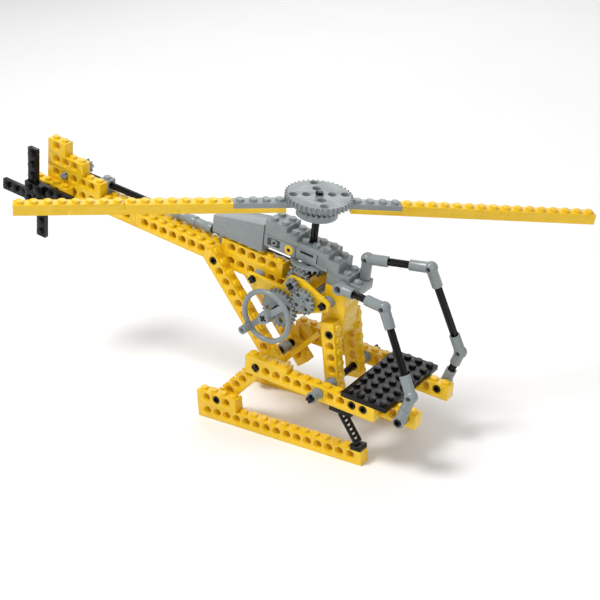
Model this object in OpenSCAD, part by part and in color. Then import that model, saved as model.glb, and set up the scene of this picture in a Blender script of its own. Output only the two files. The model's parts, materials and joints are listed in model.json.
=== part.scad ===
// Toy helicopter built from studded beams, plates, axles and gears.
// All lengths in millimetres; one stud is the grid the whole toy is built on.
// +X is forward, +Z is up, the skids stand on Z = 0, the middle of the whole toy is X = 0.

/* [Grid] */
// Length of each landing skid, in studs
skid_studs = 16; // [16:1:18]
// Radial play of an axle or a pin in a round hole
play = 0.05; // [0.03:0.01:0.08]

/* [Stance] */
// Nose-down lean of the lower frame, degrees
lower_pitch = 5.86; // [5.5:0.1:6.2]
// Nose-down lean of the tail boom, degrees
boom_pitch = 10.55; // [10.3:0.05:10.8]
// Lean of the two diagonals below the boom, degrees
diagonal_lean = 55.6; // [55.3:0.1:56]

/* [Rotor] */
// Bearing of the rotor blades, degrees from straight ahead
blade_bearing = 45; // [0:0.5:90]
// Outer diameter of the hand wheel
wheel_d = 36.4; // [34:0.2:38]

/* [Hidden] */
P = 8;
plate_h = 3.2;
brick_h = 9.6;
stud_d = 4.8;
stud_h = 1.7;
hole_z = 5.8;
axle_d = 4.8;
hole_d = axle_d + 2 * play;
gap = 0.1;
yellow = [0.93, 0.74, 0.13];
grey = [0.62, 0.63, 0.62];
black = [0.07, 0.07, 0.07];

// Where the three frames stand, as [x, z] in millimetres
mid_x = skid_studs * P / 2 - 40.97;
lower_o = [5.29 * P - mid_x, 5.443 * P];
function turn(p, a) = [p[0] * cos(a) + p[1] * sin(a), p[1] * cos(a) - p[0] * sin(a)];
function low(u, w) = lower_o + turn([u * P, w * P], lower_pitch);
diag_foot = low(1, 0.725);
diag_span = 9;
boom_hole = diag_foot + diag_span * P * [-cos(diagonal_lean), sin(diagonal_lean)];
upper_o = boom_hole + turn([6 * P, 0], boom_pitch);
function up(u, w) = upper_o + turn([u * P, w * P], boom_pitch);
function low3(u, y, w) = [low(u, w)[0], y * P, low(u, w)[1]];
function up3(u, y, w) = [up(u, w)[0], y * P, up(u, w)[1]];
function world(x, y, z) = [x * P - mid_x, y * P, z * P];
column_lean = 92.5;
column_foot = low(7, 0.725);

// Shafts, as [u, w] in studs in the boom frame
mast_u = 1.9;
wheel_at = [1, -1.2];
shaft_w = 1.2;
lay_at = [mast_u, shaft_w];
r8 = 4;
r12 = 6;
r16 = 8;
r24 = 12;
// Centre that is a from p and b from q, on the forward side
function meet(p, q, a, b) = let (d = norm(q - p), e = (q - p) / d,
  s = (a * a - b * b + d * d) / (2 * d), h = sqrt(a * a - s * s)) p + s * e + h * [e[1], -e[0]];
idler_at = meet(wheel_at, lay_at, (r24 + r16) / P, (r16 + r8) / P);
function heading(p, q) = atan2(q[1] - p[1], q[0] - p[0]);
// A tooth of the second wheel, when the first has one at t
function meshed(t, n, m, a) = a + 180 - (t - a) * n / m + 180 / m;
lay_tooth = 90;
idler_tooth = meshed(lay_tooth, 8, 16, heading(lay_at, idler_at));
wheel_tooth = meshed(idler_tooth, 16, 24, heading(idler_at, wheel_at));
plate_rear = [-2, 0];
plate_front = [4.6, 0.3];
plate_y = 1.9;
gear_y = -2.62;
stub_at = [-23, shaft_w];
tail_at = [-24, 0];
tail_c = norm(stub_at - tail_at) * P;

// Studs, beams and plates
module studs(nx, ny) {
  for (i = [0:nx - 1])
    for (j = [0:ny - 1])
      translate([(i + 0.5) * P, (j + 0.5) * P, 0])
        cylinder(d = stud_d, h = stud_h, $fn = 32);
}
module brick(nx, ny, h, top = true) {
  difference() {
    translate([gap, gap, 0])
      cube([nx * P - 2 * gap, ny * P - 2 * gap, h]);
    translate([1.5, 1.5, -1])
      cube([nx * P - 3, ny * P - 3, 3]);
  }
  if (top)
    translate([0, 0, h])
      studs(nx, ny);
}
module plate(nx, ny, top = true) {
  brick(nx, ny, plate_h, top);
}
// Beam along X, middle of its width on Y = 0, bottom on Z = 0
module beam(n, top = true) {
  difference() {
    translate([0, -P / 2, 0])
      brick(n, 1, brick_h, top);
    for (i = [1:n - 1])
      translate([i * P, 0, hole_z])
        rotate([90, 0, 0]) {
          cylinder(d = hole_d, h = 20, center = true, $fn = 36);
          for (s = [0, 1])
            mirror([0, 0, s])
              translate([0, 0, 3])
                cylinder(d = 6.2, h = 2, $fn = 36);
        }
  }
}
// Beam with hole number k on the origin, rising at angle a
module beam_at(n, k, a, flip = 0) {
  rotate([0, -a, 0])
    rotate([flip, 0, 0])
      translate([-k * P, 0, -hole_z])
        beam(n);
}
module cross_shape(extra = 0) {
  intersection() {
    circle(d = axle_d + 2 * extra, $fn = 48);
    union() {
      square([axle_d + 1, 1.8 + 2 * extra], center = true);
      square([1.8 + 2 * extra, axle_d + 1], center = true);
    }
  }
}
// Cross axle along Z from 0 to l
module axle(l) {
  linear_extrude(l)
    cross_shape();
}
module bore(l) {
  translate([0, 0, -1])
    linear_extrude(l + 2)
      cross_shape(0.03);
}
module bush(l = 7.6) {
  difference() {
    union() {
      cylinder(d = 5.8, h = l, $fn = 36);
      cylinder(d = 7.4, h = 1.6, $fn = 36);
      translate([0, 0, l - 1.6])
        cylinder(d = 7.4, h = 1.6, $fn = 36);
    }
    bore(l);
  }
}
// Turns a thing that stands along +Z to lie along +Y, from y0
module along_y(y0) {
  translate([0, y0, 0])
    rotate([-90, 0, 0])
      children();
}
module along_x(x0) {
  translate([x0, 0, 0])
    rotate([0, 90, 0])
      children();
}
// Stands a thing on p, pointing at q
module toward(p, q) {
  d = q - p;
  translate(p)
    rotate([0, acos(d[2] / norm(d)), atan2(d[1], d[0])])
      children();
}
// Connecting pin along Y, two beams long, middle on the origin
module pin(l = 15.6) {
  difference() {
    along_y(-l / 2)
      cylinder(d = axle_d, h = l, $fn = 36);
    along_y(-l)
      cylinder(d = 2.6, h = 2 * l, $fn = 24);
  }
  difference() {
    along_y(-0.8)
      cylinder(d = 6, h = 1.6, $fn = 36);
    along_y(-2)
      cylinder(d = 4, h = 4, $fn = 24);
  }
}

// Gears: straight thin teeth, so meshing wheels never touch
tooth_out = 0.85;
tooth_in = 1.25;
module teeth(n, r) {
  for (i = [0:n - 1])
    rotate(i * 360 / n)
      polygon([[r - tooth_in - 0.4, -0.85], [r, -0.5], [r + tooth_out, -0.28],
        [r + tooth_out, 0.28], [r, 0.5], [r - tooth_in - 0.4, 0.85]]);
}
module spur(n, r, h, turned = 0) {
  difference() {
    linear_extrude(h) {
      circle(r = r - tooth_in, $fn = 64);
      teeth(n, r);
    }
    rotate(-turned)
      bore(h);
    if (n > 12)
      for (i = [0:3])
        rotate(45 + i * 90)
          translate([r * 0.62, 0, -1])
            cylinder(d = r * 0.36, h = h + 2, $fn = 24);
  }
}
// Face gear: teeth on the +Z side, their middle on the pitch plane Z = 0
module crown(n, r, back, turned = 0) {
  difference() {
    union() {
      translate([0, 0, -tooth_in - back])
        cylinder(r = r + 1, h = back, $fn = 72);
      intersection() {
        for (i = [0:n - 1])
          rotate(i * 360 / n)
            translate([r, 0, 0])
              rotate([90, 0, 90])
                linear_extrude(2.4, center = true)
                  polygon([[-0.8, -tooth_in - 0.1], [0.8, -tooth_in - 0.1],
                    [0.45, 0], [0.28, tooth_out], [-0.28, tooth_out], [-0.45, 0]]);
        translate([0, 0, -5])
          cylinder(r = r + 1, h = 10, $fn = 72);
      }
    }
    translate([0, 0, -20])
      rotate(-turned)
        bore(40);
    if (n > 12)
      for (i = [0:5])
        rotate(i * 60)
          translate([r * 0.58, 0, -20])
            cylinder(d = 4, h = 40, $fn = 24);
  }
}

module in_skids() translate([-mid_x, 0, 0]) children();
module in_lower()
  translate([lower_o[0], 0, lower_o[1]])
    rotate([0, lower_pitch, 0])
      children();
module in_upper()
  translate([upper_o[0], 0, upper_o[1]])
    rotate([0, boom_pitch, 0])
      children();
// Place in the boom frame, in studs
module at(u, y, w) in_upper() translate([u * P, y * P, w * P]) children();
side_right = -1;
side_left = 1;
boom_z = -hole_z / P;

// Landing gear
module skid(s) {
  color(yellow) in_skids()
    translate([0, s * 3.5 * P, 0])
      beam(skid_studs);
}
module skid_right() skid(side_right);
module skid_left() skid(side_left);
module skid_risers() {
  color(yellow) in_skids()
    for (s = [-1, 1])
      translate([0, s * 3.5 * P, brick_h])
        beam(4);
}
riser_pin = world(2, 0, 1.2 + 0.725);
arm_lean = heading([riser_pin[0], riser_pin[2]], diag_foot);
module rear_arm(s) {
  color(yellow)
    translate([riser_pin[0], s * 2.5 * P, riser_pin[2]])
      beam_at(8, 1, arm_lean);
}
module rear_arm_right() rear_arm(side_right);
module rear_arm_left() rear_arm(side_left);

// Lower frame
module lower_beam(s) {
  color(yellow) in_lower()
    translate([0, s * 3.5 * P, 0])
      beam(12);
}
module lower_beam_right() lower_beam(side_right);
module lower_beam_left() lower_beam(side_left);
module rear_blocks() {
  color(yellow) in_lower()
    for (s = [-1, 1])
      translate([0, (s * 3.5 - 0.5) * P, brick_h])
        plate(4, 1);
}
module seat_arm(s) {
  color(yellow) in_lower()
    translate([9 * P, s * 2.5 * P, 0])
      beam(6);
}
module seat_arm_right() seat_arm(side_right);
module seat_arm_left() seat_arm(side_left);
module seat_plate() {
  color(black) in_lower()
    translate([9 * P, -4 * P, brick_h])
      plate(4, 8);
}
module front_cross_axle() {
  color(black)
    translate([column_foot[0], 0, column_foot[1]])
      along_y(-5.3 * P)
        axle(10 * P);
}
module frame_axles() {
  color(black)
    translate([diag_foot[0], 0, diag_foot[1]])
      along_y(-4.1 * P)
        axle(8.2 * P);
  color(black)
    for (c = [plate_rear, plate_front])
      at(c[0], 0, c[1])
        along_y(-2.3 * P)
          axle(4.6 * P);
}
module axle_bushes() {
  color(grey)
    translate([column_foot[0], 0, column_foot[1]])
      for (y = [-5, -3, 2])
        along_y(y * P + 0.2)
          bush();
  color(grey)
    translate([diag_foot[0], 0, diag_foot[1]])
      along_y(-3.8)
        bush();
  color(grey)
    for (c = [plate_rear, plate_front])
      at(c[0], 0, c[1])
        for (y = [-1.74, 1.02])
          along_y(y * P)
            bush(5.7);
}
module column(s) {
  color(yellow)
    translate([column_foot[0], s * 1.5 * P, column_foot[1]])
      beam_at(6, 1, column_lean, 180);
}
module column_right() column(side_right);
module column_left() column(side_left);
module diagonal(s) {
  color(yellow)
    translate([boom_hole[0], s * 1.5 * P, boom_hole[1]])
      beam_at(12, 1, -diagonal_lean);
}
module diagonal_right() diagonal(side_right);
module diagonal_left() diagonal(side_left);

// Tail boom
module boom_front_right() color(yellow) at(-15, -0.5, boom_z) beam(16);
module boom_front_left() color(yellow) at(-16, 0.5, boom_z) beam(16);
module boom_rear_right() color(yellow) at(-25, -0.5, boom_z) beam(10);
module boom_rear_left() {
  color(yellow)
    difference() {
      at(-26, 0.5, boom_z) beam(10);
      at(rear_pinion_u, shaft_y, shaft_w)
        rotate([0, 90, 0])
          cylinder(r = r8 + 1.5, h = 6, center = true, $fn = 48);
    }
}
boom_top = boom_z + brick_h / P;
module boom_top_beam() color(yellow) at(-6, -0.5, boom_top) beam(6);
// The lowest fin beam is relieved beside the drive pinion
module fin_lower() {
  color(yellow)
    difference() {
      at(-25, -0.5, boom_top) beam(6);
      at(rear_pinion_u, shaft_y, shaft_w)
        rotate([0, 90, 0])
          cylinder(r = r8 + 1.5, h = 4.4, center = true, $fn = 48);
    }
}
module fin_middle() color(yellow) at(-25, -0.5, boom_top + 1.2) beam(4);
module fin_top() color(yellow) at(-25, -0.5, boom_top + 2.4) beam(2);
module tail_bearing_beam() color(yellow) at(-26, -1.5, boom_z) beam(4);
module shaft_bearings() {
  color(grey)
    for (u = [-20, -7])
      at(u, 0, boom_top)
        difference() {
          brick(1, 1, brick_h);
          translate([-1, P / 2, shaft_w * P - boom_top * P])
            rotate([0, 90, 0])
              cylinder(d = hole_d, h = P + 2, $fn = 36);
        }
}

// Pillar and plates that carry the engine and the gear shafts
engine_z = boom_top + 1.2;
pillar_top = engine_z;
pillar_u = 4;
column_head = column_foot + 4 * P * [cos(column_lean), sin(column_lean)];
module front_pillar() {
  color(yellow)
    difference() {
      for (k = [1:3])
        at(pillar_u, -1, pillar_top - 4.08 * k / 3)
          brick(2, 2, 4.08 * P / 3 - 0.12, k > 1);
      translate([column_head[0], 0, column_head[1]])
        rotate([90, 0, 0])
          {
            cylinder(d = hole_d, h = 60, center = true, $fn = 36);
            for (m = [0, 1])
              mirror([0, 0, m])
                translate([0, 0, P - 1])
                  cylinder(d = 6.3, h = 4, $fn = 36);
          }
      at(plate_front[0], 0, plate_front[1])
        rotate([90, 0, 0])
          cylinder(d = hole_d, h = 60, center = true, $fn = 36);
    }
}
module gear_plate(s) {
  color(yellow)
    difference() {
      at(0, s * plate_y, 0)
        rotate([90, 0, 0])
          linear_extrude(2.4, center = true)
            polygon([[-20, 3.6], [-20, -3.6], [3, -14], [12, -14.5],
              [38, -1.6], [41, 0], [41, 5], [38, 6.6], [21, 13.6], [11, 13.6], [5, 3.6]]);
      for (c = [wheel_at, idler_at, lay_at, plate_rear, plate_front])
        at(c[0], 0, c[1])
          rotate([90, 0, 0])
            cylinder(d = hole_d, h = 60, center = true, $fn = 36);
    }
}
module gear_plate_right() gear_plate(side_right);
module gear_plate_left() gear_plate(side_left);

// Engine cover
module mast_hole() {
  at(mast_u, 0, -2)
    cylinder(d = hole_d, h = 60, $fn = 48);
}
module engine_front_block() {
  color(grey)
    at(pillar_u, -1, engine_z)
      brick(3, 2, 2 * plate_h);
}
belly_foot = world(6.75, -1, 5.6);
belly_rise = 42.3;
module belly_plate() {
  color(yellow)
    translate(belly_foot)
      rotate([0, -belly_rise, 0])
        translate([0, 0, -plate_h])
          plate(5, 2, false);
}
// Stacked cover plate with a filled underside
module cover_plate(nx, ny) {
  translate([gap, gap, 0])
    cube([nx * P - 2 * gap, ny * P - 2 * gap, plate_h]);
  translate([0, 0, plate_h])
    studs(nx, ny);
}
module roof_plates() {
  color(grey) {
    at(4, -1, engine_z + 0.8)
      plate(2, 2);
    at(3, -1, engine_z + 1.2)
      cover_plate(2, 2);
    difference() {
      union() {
        at(3, -1, engine_z + 1.6)
          cover_plate(2, 2);
        at(-2, -1, engine_z + 2)
          cover_plate(6, 2);
        at(-2, -1, engine_z + 2.4)
          cover_plate(3, 2);
        at(-2, -1, engine_z + 2.8)
          cover_plate(2, 2);
        at(0, -0.9875, engine_z + 0.925)
          translate([2.92 * P, 0, 0])
            cube([1.06 * P, 1.975 * P, 0.265 * P]);
      }
      mast_hole();
    }
  }
}
module mast_bearing() {
  color(grey)
    difference() {
      at(mast_u, 0, engine_z + 0.95)
        translate([-0.9 * P, -0.95 * P, 0])
          cube([1.9 * P, 1.9 * P, 1.02 * P]);
      mast_hole();
    }
  // Cover core, with a recess on each side
  color(grey)
    difference() {
      at(-2.02, -0.95, engine_z + 0.95)
        cube([2.95 * P, 1.9 * P, 1.02 * P]);
      for (s = [-1, 1])
        at(-1.7, s * 0.95 - 0.35, engine_z + 1.1)
          cube([1.2 * P, 0.7 * P, 0.7 * P]);
    }
}
module rear_fairing() {
  color(grey)
    at(0, 0, 0)
      rotate([90, 0, 0])
        linear_extrude(15.8, center = true)
          polygon([[-7 * P, engine_z * P + 2], [-7 * P, 3.4 * P],
            [-2.1 * P, 4.35 * P], [-2.1 * P, engine_z * P + 2]]);
}

// Front struts
strut_top = low(8.9, -0.4);
strut_foot = [world(15.5, 0, 0)[0], brick_h + plate_h];
module strut_plates() {
  color(black) {
    for (s = [-1, 1]) {
      in_lower()
        translate([8 * P, (s * 3.5 - 0.5) * P, -plate_h])
          plate(2, 1, false);
      in_skids()
        translate([15 * P, (s * 3.5 - 0.5) * P, brick_h])
          plate(1, 1, false);
    }
  }
}
module chain_link(l) {
  for (s = [-1, 1])
    translate([-0.9, s * 2.7 - 0.6, 0.2])
      cube([1.8, 1.2, l - 0.3]);
  translate([0, -3.3, l / 2])
    rotate([-90, 0, 0])
      cylinder(d = 1.9, h = 6.6, $fn = 24);
}
module strut_chains() {
  color(black)
    for (s = [-1, 1]) {
      a = [strut_foot[0], s * 3.5 * P, strut_foot[1] + 0.75];
      b = [strut_top[0], s * 3.5 * P, strut_top[1] - 0.75];
      n = 7;
      toward(a, b)
        for (i = [0:n - 1])
          translate([0, 0, i * norm(b - a) / n])
            chain_link(norm(b - a) / n + 0.3);
    }
}

// Pins that hold the frame together
module pin_at(p, y) {
  translate([p[0], y * P, p[1]])
    pin();
}
module frame_pins() {
  color(black)
    for (s = [-1, 1]) {
      pin_at([riser_pin[0], riser_pin[2]], s * 3);
      pin_at(low(10, 0.725), s * 3);
      pin_at(low(11, 0.725), s * 3);
      pin_at(low(14, 0.725), s * 3);
      pin_at(boom_hole, s * 1);
    }
  color(black)
    for (s = [-1, 1])
      translate([column_head[0], s * P, column_head[1]])
        pin();
  color(black) pin_at(up(-23, 0), -1);
}

// Windscreen frames, as chains of axles between joints
foot_r = low3(14, -3.5, 0.725);
knee_r = world(20.26, -3.5, 7.03);
head_r = world(17.21, -2, 12.93);
root_r = up3(5.6, -1.5, 2.1);
foot_l = low3(14, 3.5, 0.725);
knee_l = world(20.6, 3.5, 7.65);
head_l = world(19.1, 1.7, 15.1);
root_l = up3(6.5, 0.5, 4.2);
stand_l = up3(6.5, 0.5, 3.2);
module tube(p, q, l) {
  toward(p, q)
    cylinder(d = 6.8, h = l, $fn = 32);
}
module socket(p, q, from) {
  toward(p, q)
    translate([0, 0, from])
      cylinder(d = hole_d, h = 40, $fn = 32);
}
// Eye on a pin along Y, with a sleeve for the axle to q
module eye(p, q) {
  difference() {
    union() {
      translate(p)
        along_y(-3.1)
          cylinder(d = 7.4, h = 6.2, $fn = 36);
      tube(p, q, 10.5);
    }
    translate(p)
      along_y(-10)
        cylinder(d = hole_d, h = 20, $fn = 36);
    socket(p, q, 5);
  }
}
module elbow(p, a, b, la = 13, lb = 13) {
  difference() {
    union() {
      translate(p)
        sphere(d = 8.4, $fn = 40);
      tube(p, a, la);
      tube(p, b, lb);
    }
    socket(p, a, 5);
    socket(p, b, 5);
    translate(p)
      along_y(-6)
        cylinder(d = 3.2, h = 12, $fn = 28);
  }
}
module rod(p, q) {
  toward(p, q)
    translate([0, 0, 5.2])
      axle(norm(q - p) - 10.4);
}
module window_feet() {
  color(grey) {
    eye(foot_r, knee_r);
    eye(foot_l, knee_l);
    difference() {
      eye(root_r, head_r);
      at(0, -1, 0)
        translate([0, 0.1, 0])
          cube([100, 20, 60]);
    }
  }
}
module window_posts() {
  color(black) {
    rod(knee_r, head_r);
    rod(knee_l, head_l);
  }
}
module window_elbows() {
  color(grey) {
    elbow(knee_r, foot_r, head_r, 9.2);
    elbow(head_r, knee_r, root_r);
    elbow(knee_l, foot_l, head_l, 9.2);
    elbow(head_l, knee_l, root_l);
    difference() {
      elbow(root_l, head_l, up3(6.5, 0.5, 0));
      at(0, -5, -5)
        cube([100, 100, (engine_z + 0.8 + 5) * P]);
    }
  }
}
module window_arms() {
  color(black) {
    rod(foot_r, knee_r);
    rod(foot_l, knee_l);
    rod(head_r, root_r);
    rod(head_l, root_l);
  }
}

// Hand wheel and its shaft
wheel_y = -4.15;
module hand_wheel() {
  color(grey)
    at(wheel_at[0], wheel_y, wheel_at[1])
      rotate([-90, 0, 0])
        difference() {
          union() {
            rotate_extrude($fn = 96)
              translate([wheel_d / 2 - 1.7, 0])
                circle(d = 3.4, $fn = 32);
            for (i = [0, 180])
              rotate(i - grip_turn)
                translate([0, -1.9, -1])
                  cube([wheel_d / 2 - 2, 3.8, 2]);
            cylinder(d = 8, h = 8, center = true, $fn = 48);
          }
          rotate(-wheel_tooth)
            translate([0, 0, -5])
              bore(10);
        }
}
grip_turn = 225;
module wheel_grip() {
  color(grey)
    at(wheel_at[0], wheel_y, wheel_at[1])
      rotate([0, -grip_turn, 0])
        translate([wheel_d / 2 - 2, -2.05, 0])
          rotate([90, 0, 0])
            difference() {
              cylinder(d = 5.4, h = 6.5, $fn = 40);
              translate([0, 0, 5])
                cylinder(d = 3.2, h = 3, $fn = 24);
            }
}
module wheel_axle() {
  color(black)
    at(wheel_at[0], -4.65, wheel_at[1])
      rotate([-90, 0, 0])
        rotate(-wheel_tooth)
          axle(6.9 * P);
}
module wheel_gear() {
  color(grey)
    at(wheel_at[0], gear_y, wheel_at[1])
      rotate([90, 0, 0])
        translate([0, 0, -3.2])
          rotate(wheel_tooth)
            spur(24, r24, 3.2);
}
module idler_gear() {
  color(grey)
    at(idler_at[0], gear_y, idler_at[1])
      rotate([90, 0, 0])
        translate([0, 0, -3.2])
          rotate(idler_tooth)
            spur(16, r16, 3.2);
  color(black)
    at(idler_at[0], -2.75, idler_at[1])
      rotate([-90, 0, 0])
        rotate(-idler_tooth)
          axle(4.95 * P);
}
module lay_axle() {
  color(black)
    at(lay_at[0], -2.75, lay_at[1])
      rotate([-90, 0, 0])
        axle(4.95 * P);
}
module lay_gears() {
  color(grey)
    for (g = [[gear_y - 0.02, 3.6, 8, r8], [-1.67, 2.9, 16, r16]])
      at(lay_at[0], g[0], lay_at[1])
        rotate([90, 0, 0])
          translate([0, 0, -g[1]])
            rotate(lay_tooth)
              spur(g[2], g[3], g[1]);
  color(grey)
    at(lay_at[0], 1.0, lay_at[1])
      rotate([90, 0, 0])
        rotate(22.5)
          crown(8, r8, 1.2, 22.5);
}

// Mast and main rotor
module mast_axle() {
  color(black)
    at(mast_u, 0, 1.85)
      axle((8.35 - 1.85) * P);
}
module mast_crown() {
  color(grey)
    at(mast_u, 0, shaft_w + r16 / P)
      rotate([180, 0, 0])
        rotate(7.5)
          crown(24, r24, 1.4, 7.5);
}
rotor_plate_w = 7.25;
module rotor_crown() {
  color(grey)
    at(mast_u, 0, rotor_plate_w - tooth_out / P - 0.02)
      crown(24, r24, 4);
}
module rotor_disc() {
  color(grey)
    at(mast_u, 0, rotor_plate_w + 0.4)
      difference() {
        linear_extrude(3.8) {
          circle(r = 19.2, $fn = 120);
          teeth(40, 20);
        }
        bore(4);
        rotate(blade_bearing)
          for (k = [0:3])
            rotate(k * 90)
              for (r = [1, 2])
                translate([r * P, 0, -1])
                  cylinder(d = 5.4, h = 7, $fn = 36);
      }
}
// The blades hang a little below level
module both_blades() {
  at(mast_u, 0, rotor_plate_w + 0.4)
    for (b = [[0, 2.3], [180, 1.2]])
      rotate(blade_bearing + b[0])
        rotate([0, b[1], 0])
          translate([0, 0, -(rotor_plate_w + 0.4) * P])
            children();
}
module blade_roots() {
  color(grey)
    both_blades()
      translate([0.5 * P, -P / 2, rotor_plate_w * P])
        plate(6, 1);
}
module blade_plates() {
  color(yellow)
    both_blades() {
      for (x = [6.5, 14.5])
        translate([x * P, -P / 2, rotor_plate_w * P])
          plate(8, 1);
      translate([2.5 * P, -P / 2, rotor_plate_w * P - plate_h])
        plate(8, 1);
      translate([10.5 * P, -P / 2, rotor_plate_w * P - plate_h])
        plate(8, 1);
      translate([18.5 * P, -P / 2, rotor_plate_w * P - plate_h])
        plate(4, 1);
    }
}

// Tail drive
front_pinion_u = mast_u - r8 / P;
rear_pinion_u = stub_at[0] + r8 / P;
shaft_y = 0.5;
module tail_shaft() {
  color(black)
    at(0, shaft_y, shaft_w) {
      along_x((rear_pinion_u - 0.15) * P)
        axle(10.65 * P);
      along_x(-10 * P)
        axle((10 + front_pinion_u + 0.15) * P);
    }
}
module tail_shaft_gears() {
  color(grey)
    at(0, shaft_y, shaft_w) {
      for (u = [front_pinion_u, rear_pinion_u])
        translate([u * P, 0, 0])
          rotate([90, 0, 90])
            translate([0, 0, -1.2])
              spur(8, r8, 2.4);
      along_x(-12 * P)
        difference() {
          union() {
            cylinder(d = 6.2, h = 4 * P, $fn = 40);
            for (z = [0, 13.6])
              translate([0, 0, z])
                cylinder(d = 7.2, h = 4.8, $fn = 40);
            translate([0, 0, 4 * P - 4.8])
              cylinder(d = 7.2, h = 4.8, $fn = 40);
          }
          bore(4 * P);
        }
    }
}
module tail_stub() {
  color(black)
    at(stub_at[0], -1.3, stub_at[1])
      rotate([-90, 0, 0])
        axle(3.6 * P);
  color(grey)
    at(stub_at[0], 1.0, stub_at[1])
      rotate([90, 0, 0])
        rotate(22.5)
          crown(8, r8, 1.2, 22.5);
  color(grey)
    at(stub_at[0], 1.6, stub_at[1])
      rotate([90, 0, 0])
        translate([0, 0, -3.6])
          rotate(heading(stub_at, tail_at))
            spur(8, tail_c / 3, 3.6, heading(stub_at, tail_at));
}
tail_blade_y = -3.4;
tail_tooth = heading(tail_at, stub_at) + 180 / 16;
module tail_rotor() {
  color(black)
    at(tail_at[0], -3.9, tail_at[1])
      rotate([-90, 0, 0])
        axle(6.1 * P);
  color(grey)
    at(tail_at[0], 1.6, tail_at[1])
      rotate([90, 0, 0])
        translate([0, 0, -3.6])
          rotate(tail_tooth)
            spur(16, tail_c * 2 / 3, 3.6, tail_tooth);
  color(black)
    at(tail_at[0], tail_blade_y, tail_at[1])
      rotate([90, 0, 0])
        difference() {
          union() {
            translate([-P, -P, 0])
              plate(2, 2);
            for (k = [0:3])
              rotate(k * 90)
                translate([0, 0, -plate_h])
                  plate(4, 1);
          }
          translate([0, 0, -20])
            bore(40);
        }
}

skid_right();
skid_left();
skid_risers();
rear_arm_right();
rear_arm_left();
lower_beam_right();
lower_beam_left();
rear_blocks();
seat_arm_right();
seat_arm_left();
seat_plate();
front_cross_axle();
frame_axles();
axle_bushes();
column_right();
column_left();
diagonal_right();
diagonal_left();
boom_front_right();
boom_front_left();
boom_rear_right();
boom_rear_left();
boom_top_beam();
front_pillar();
gear_plate_right();
gear_plate_left();
fin_lower();
fin_middle();
fin_top();
tail_bearing_beam();
shaft_bearings();
engine_front_block();
belly_plate();
roof_plates();
mast_bearing();
rear_fairing();
strut_chains();
strut_plates();
frame_pins();
window_feet();
window_posts();
window_elbows();
window_arms();
hand_wheel();
wheel_grip();
wheel_axle();
wheel_gear();
idler_gear();
lay_axle();
lay_gears();
mast_axle();
mast_crown();
rotor_crown();
rotor_disc();
blade_roots();
blade_plates();
tail_shaft();
tail_shaft_gears();
tail_stub();
tail_rotor();
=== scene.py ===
import json
import math

import bmesh
import bpy
from mathutils import Matrix, Vector


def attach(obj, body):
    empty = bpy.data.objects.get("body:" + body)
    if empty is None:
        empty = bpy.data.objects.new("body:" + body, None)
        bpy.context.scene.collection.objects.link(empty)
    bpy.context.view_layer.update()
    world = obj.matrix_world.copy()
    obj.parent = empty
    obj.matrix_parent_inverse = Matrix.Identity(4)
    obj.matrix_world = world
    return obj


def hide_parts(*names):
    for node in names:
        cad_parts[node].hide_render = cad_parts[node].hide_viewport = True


MM = 0.001
STUD = 8 * MM

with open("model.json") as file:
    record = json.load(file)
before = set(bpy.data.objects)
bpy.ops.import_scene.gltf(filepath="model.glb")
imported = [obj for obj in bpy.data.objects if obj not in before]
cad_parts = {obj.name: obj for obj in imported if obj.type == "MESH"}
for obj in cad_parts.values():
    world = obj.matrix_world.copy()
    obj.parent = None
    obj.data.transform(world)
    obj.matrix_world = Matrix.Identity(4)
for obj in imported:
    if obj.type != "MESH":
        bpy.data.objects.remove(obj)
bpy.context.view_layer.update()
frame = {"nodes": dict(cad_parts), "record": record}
record = frame["record"]
body_of = {n: b for b, nodes in record["behaviour"]["bodies"].items() for n in nodes}
slot_of = {s["node"]: s["material_slot"] for s in record["subparts"]}


# ---------------------------------------------------------------- materials
PLASTIC_IOR = 1.53

# Noise scales, in features per metre
FLOW_SCALE = 55
FLECK_SCALE = 1400
WEAR_SCALE = 300
HANDLING_SCALE = 420
SCUFF_SCALE = 900
RIPPLE_SCALE = 260

FLECK_AMOUNT = 0.05
WEAR_AMOUNT = (0.22, 0.22, 0.22)
SCUFF_STRETCH = (1, 0.06, 1)
SCUFF_ROUGHNESS = 0.12
RIPPLE_STRENGTH = 0.06
RIPPLE_DEPTH = 0.4 * MM


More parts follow.
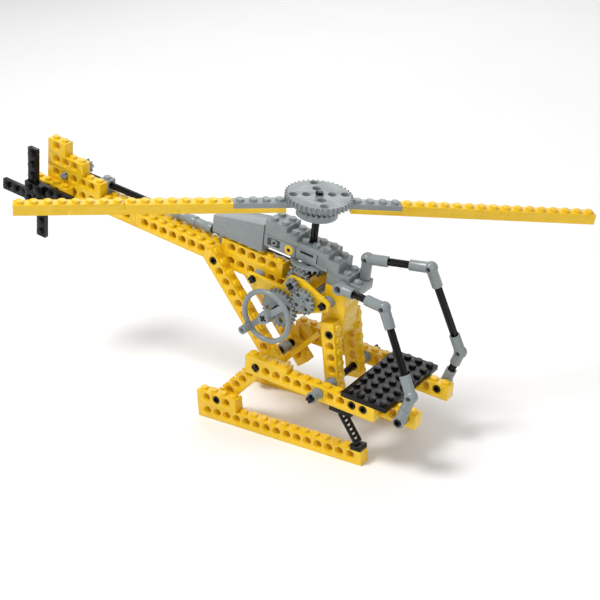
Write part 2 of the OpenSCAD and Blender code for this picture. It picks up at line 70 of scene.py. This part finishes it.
def plastic(name, specular, low, high, speck, gloss):
    """Moulded plastic: faint flow marks, pale flecks, fine scuffs and worn edges."""
    mat = bpy.data.materials.new(name)
    mat.use_nodes = True
    tree = mat.node_tree
    node, link = tree.nodes, tree.links
    shader = node["Principled BSDF"]
    shader.inputs["IOR"].default_value = PLASTIC_IOR
    shader.inputs["Specular IOR Level"].default_value = specular
    place = node.new("ShaderNodeTexCoord")

    def noise(scale, detail, rough=0.5, stretch=None):
        tex = node.new("ShaderNodeTexNoise")
        tex.inputs["Scale"].default_value = scale
        tex.inputs["Detail"].default_value = detail
        tex.inputs["Roughness"].default_value = rough
        if stretch:
            mapping = node.new("ShaderNodeMapping")
            mapping.inputs["Scale"].default_value = stretch
            link.new(place.outputs["Object"], mapping.inputs["Vector"])
            link.new(mapping.outputs["Vector"], tex.inputs["Vector"])
        else:
            link.new(place.outputs["Object"], tex.inputs["Vector"])
        return tex.outputs["Fac"]

    def ramp(source, stops):
        item = node.new("ShaderNodeValToRGB")
        first, last = item.color_ramp.elements
        first.position, first.color = stops[0][0], (*stops[0][1], 1)
        last.position, last.color = stops[1][0], (*stops[1][1], 1)
        link.new(source, item.inputs["Fac"])
        return item.outputs["Color"]

    def arithmetic(operation, one, two):
        item = node.new("ShaderNodeMath")
        item.operation = operation
        for socket, value in zip(item.inputs, (one, two)):
            if isinstance(value, float):
                socket.default_value = value
            else:
                link.new(value, socket)
        return item.outputs[0]

    def towards_speck(factor, colour):
        item = node.new("ShaderNodeMix")
        item.data_type = "RGBA"
        link.new(factor, item.inputs["Factor"])
        link.new(colour, item.inputs["A"])
        item.inputs["B"].default_value = (*speck, 1)
        return item.outputs["Result"]

    def remap(source, settings):
        item = node.new("ShaderNodeMapRange")
        for socket, value in settings.items():
            item.inputs[socket].default_value = value
        link.new(source, item.inputs["Value"])
        return item.outputs["Result"]

    # Colour: slow flow marks, then flecks, then paler worn edges
    flow = ramp(noise(FLOW_SCALE, 3, 0.45), ((0.3, low), (0.7, high)))
    flecks = ramp(noise(FLECK_SCALE, 2, 0.6), ((0.62, (0, 0, 0)), (0.8, (1, 1, 1))))
    colour = towards_speck(arithmetic("MULTIPLY", flecks, FLECK_AMOUNT), flow)
    geometry = node.new("ShaderNodeNewGeometry")
    edge = ramp(geometry.outputs["Pointiness"], ((0.53, (0, 0, 0)), (0.62, (1, 1, 1))))
    worn = ramp(noise(WEAR_SCALE, 4, 0.6), ((0.45, (0, 0, 0)), (0.75, WEAR_AMOUNT)))
    colour = towards_speck(arithmetic("MULTIPLY", edge, worn), colour)
    link.new(colour, shader.inputs["Base Color"])

    # Roughness: handling marks plus fine scuffs drawn out along Y
    handled = remap(noise(HANDLING_SCALE, 5, 0.65), {"To Min": gloss[0], "To Max": gloss[1]})
    scuffed = remap(noise(SCUFF_SCALE, 3, 0.7, SCUFF_STRETCH),
                    {"From Min": 0.6, "From Max": 0.75, "To Max": SCUFF_ROUGHNESS})
    link.new(arithmetic("ADD", handled, scuffed), shader.inputs["Roughness"])

    bump = node.new("ShaderNodeBump")
    bump.inputs["Strength"].default_value = RIPPLE_STRENGTH
    bump.inputs["Distance"].default_value = RIPPLE_DEPTH
    link.new(noise(RIPPLE_SCALE, 3, 0.5), bump.inputs["Height"])
    link.new(bump.outputs["Normal"], shader.inputs["Normal"])
    return mat


MATERIALS = {
    "yellow_plastic": plastic("moulded_yellow", 0.40, (0.80, 0.49, 0.007), (0.86, 0.545, 0.011),
                              (0.88, 0.66, 0.18), (0.18, 0.30)),
    "grey_plastic": plastic("moulded_grey", 0.42, (0.215, 0.245, 0.250), (0.250, 0.280, 0.285),
                            (0.50, 0.52, 0.52), (0.20, 0.32)),
    "black_plastic": plastic("moulded_black", 0.22, (0.0022, 0.0022, 0.0024), (0.004, 0.004, 0.0045),
                             (0.03, 0.03, 0.03), (0.16, 0.30)),
}

# ------------------------------------------------- rounded copies of each node
EDGE_ROUND = 0.16 * MM
EDGE_ANGLE = math.radians(32)
WELD = 0.002 * MM
FLAT_ANGLE = math.radians(0.6)


def round_edges(piece, width):
    bevel = piece.modifiers.new("edge", "BEVEL")
    bevel.width = width
    bevel.segments = 2
    bevel.limit_method = "ANGLE"
    bevel.harden_normals = True
    return bevel


def rounded(name):
    """A copy of a CAD node with its moulded edges rounded, on the same body."""
    source = frame["nodes"][name]
    mesh = source.data.copy()
    mesh.name = name + "_moulded"
    build = bmesh.new()
    build.from_mesh(mesh)
    bmesh.ops.remove_doubles(build, verts=build.verts, dist=WELD)
    bmesh.ops.dissolve_degenerate(build, edges=build.edges, dist=WELD)
    bmesh.ops.dissolve_limit(build, angle_limit=FLAT_ANGLE, verts=build.verts,
                             edges=build.edges, delimit={"NORMAL"})
    for face in build.faces:
        face.smooth = True
    build.to_mesh(mesh)
    build.free()
    mesh.materials.clear()
    mesh.materials.append(MATERIALS[slot_of[name]])
    piece = bpy.data.objects.new(name + "_moulded", mesh)
    bpy.context.scene.collection.objects.link(piece)
    bevel = round_edges(piece, EDGE_ROUND)
    bevel.angle_limit = EDGE_ANGLE
    bevel.miter_outer = "MITER_ARC"
    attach(piece, body_of[name])
    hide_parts(name)


for name in frame["nodes"]:
    rounded(name)

# ------------------------------------------------- small parts on the engine side
mast = next(j for j in record["behaviour"]["joints"] if j["name"] == "rotor_spin")
MAST_U = 1.9  # studs from the boom's origin to the mast, along the boom
BOOM_TURN = Matrix.Rotation(math.atan2(mast["axis"][0], mast["axis"][2]), 4, "Y")
BOOM_ORIGIN = Vector(mast["pos_m"]) - BOOM_TURN @ Vector((MAST_U * STUD, 0, 0))
DETAIL_ROUND = 0.12 * MM


def on_engine(name, slot, build, u, y, w):
    """A detail mesh, in studs along the boom, fixed to the airframe."""
    mesh = bpy.data.meshes.new(name)
    build.transform(Matrix.Translation((u * STUD, y * STUD, w * STUD)))
    build.transform(Matrix.Translation(BOOM_ORIGIN) @ BOOM_TURN)
    build.to_mesh(mesh)
    build.free()
    mesh.materials.append(MATERIALS[slot])
    piece = bpy.data.objects.new(name, mesh)
    bpy.context.scene.collection.objects.link(piece)
    round_edges(piece, DETAIL_ROUND)
    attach(piece, body_of["mast_bearing"])


def round_part(radius, depth):
    """A disc across the boom, in studs."""
    build = bmesh.new()
    bmesh.ops.create_cone(build, cap_ends=True, segments=48, radius1=radius * STUD,
                          radius2=radius * STUD, depth=depth * STUD)
    build.transform(Matrix.Rotation(math.pi / 2, 4, "X"))
    for face in build.faces:
        face.smooth = True
    return build


def square_part(length, depth, height):
    """A block along the boom, in studs."""
    build = bmesh.new()
    bmesh.ops.create_cube(build, size=1)
    build.transform(Matrix.Diagonal((length * STUD, depth * STUD, height * STUD, 1)))
    return build


on_engine("engine_boss", "yellow_plastic", round_part(0.40, 0.10),
          u=0.35, y=-0.94, w=3.1)
on_engine("engine_boss_centre", "black_plastic", round_part(0.16, 0.06),
          u=0.35, y=-0.975, w=3.1)
# Painted shadow: a flat black strip laid on the engine side where a gap falls into shade
on_engine("engine_gap_painted_shadow", "black_plastic", square_part(1.2, 0.06, 0.2),
          u=2.0, y=-0.945, w=3.4)
on_engine("joint_hub", "grey_plastic", round_part(0.27, 0.3),
          u=-1.1, y=-0.76, w=3.125)
on_engine("joint_pin", "black_plastic", round_part(0.12, 0.08),
          u=-1.1, y=-0.92, w=3.125)

# ---------------------------------------------------------------- the stage
PAPER_HALF = 4.0
PAPER_DROP = 0.2 * MM
LIT_POINT = (0, 0, 0.08)
WORLD_LIGHT = 0.5


def emit_area(name, place, size, power):
    data = bpy.data.lights.new(name, "AREA")
    data.shape = "DISK"
    data.size = size
    data.energy = power
    lamp = bpy.data.objects.new(name, data)
    lamp.location = place
    aim = Vector(LIT_POINT) - Vector(place)
    lamp.rotation_euler = aim.to_track_quat("-Z", "Y").to_euler()
    bpy.context.scene.collection.objects.link(lamp)


def pale_floor():
    mesh = bpy.data.meshes.new("floor")
    build = bmesh.new()
    corners = ((-1, -1), (1, -1), (1, 1), (-1, 1))
    build.faces.new([build.verts.new((x * PAPER_HALF, y * PAPER_HALF, -PAPER_DROP))
                     for x, y in corners])
    build.to_mesh(mesh)
    build.free()
    mat = bpy.data.materials.new("studio_paper")
    mat.use_nodes = True
    node, link = mat.node_tree.nodes, mat.node_tree.links
    shader = node["Principled BSDF"]
    shader.inputs["Roughness"].default_value = 0.9
    place = node.new("ShaderNodeTexCoord")
    tex = node.new("ShaderNodeTexNoise")
    tex.inputs["Scale"].default_value = 6
    link.new(place.outputs["Object"], tex.inputs["Vector"])
    ramp = node.new("ShaderNodeValToRGB")
    ramp.color_ramp.elements[0].color = (0.90, 0.90, 0.90, 1)
    ramp.color_ramp.elements[1].color = (0.94, 0.94, 0.94, 1)
    link.new(tex.outputs["Fac"], ramp.inputs["Fac"])
    link.new(ramp.outputs["Color"], shader.inputs["Base Color"])
    mesh.materials.append(mat)
    floor = bpy.data.objects.new("floor", mesh)
    bpy.context.scene.collection.objects.link(floor)


pale_floor()
emit_area("key", (-0.35, -0.55, 1.5), size=0.55, power=17)
emit_area("fill", (1.3, -0.9, 0.9), size=1.2, power=5)
emit_area("back", (-0.6, 1.1, 1.0), size=1.2, power=5)
world = bpy.data.worlds.new("studio")
world.use_nodes = True
world.node_tree.nodes["Background"].inputs["Color"].default_value = (1, 1, 1, 1)
world.node_tree.nodes["Background"].inputs["Strength"].default_value = WORLD_LIGHT
bpy.context.scene.world = world
bpy.context.scene.view_settings.view_transform = "Standard"

# ---------------------------------------------------------------- the camera
EYE = Vector((0.47216, -0.59526, 0.42621))
YAW, PITCH, ROLL = 2.1959, -0.4339, -0.0553
SENSOR_MM = 36
LENS_MM = 76.74
look = Vector((math.cos(PITCH) * math.cos(YAW), math.cos(PITCH) * math.sin(YAW), math.sin(PITCH)))
level = look.cross(Vector((0, 0, 1))).normalized()
above = level.cross(look)
right = math.cos(ROLL) * level + math.sin(ROLL) * above
top = -math.sin(ROLL) * level + math.cos(ROLL) * above
lens = bpy.data.cameras.new("photo_view")
lens.sensor_width = SENSOR_MM
lens.lens = LENS_MM
lens.clip_end = 20
camera = bpy.data.objects.new("photo_view", lens)
turn = Matrix((right, top, -look)).transposed().to_4x4()
camera.matrix_world = Matrix.Translation(EYE) @ turn
bpy.context.scene.collection.objects.link(camera)
bpy.context.scene.camera = camera
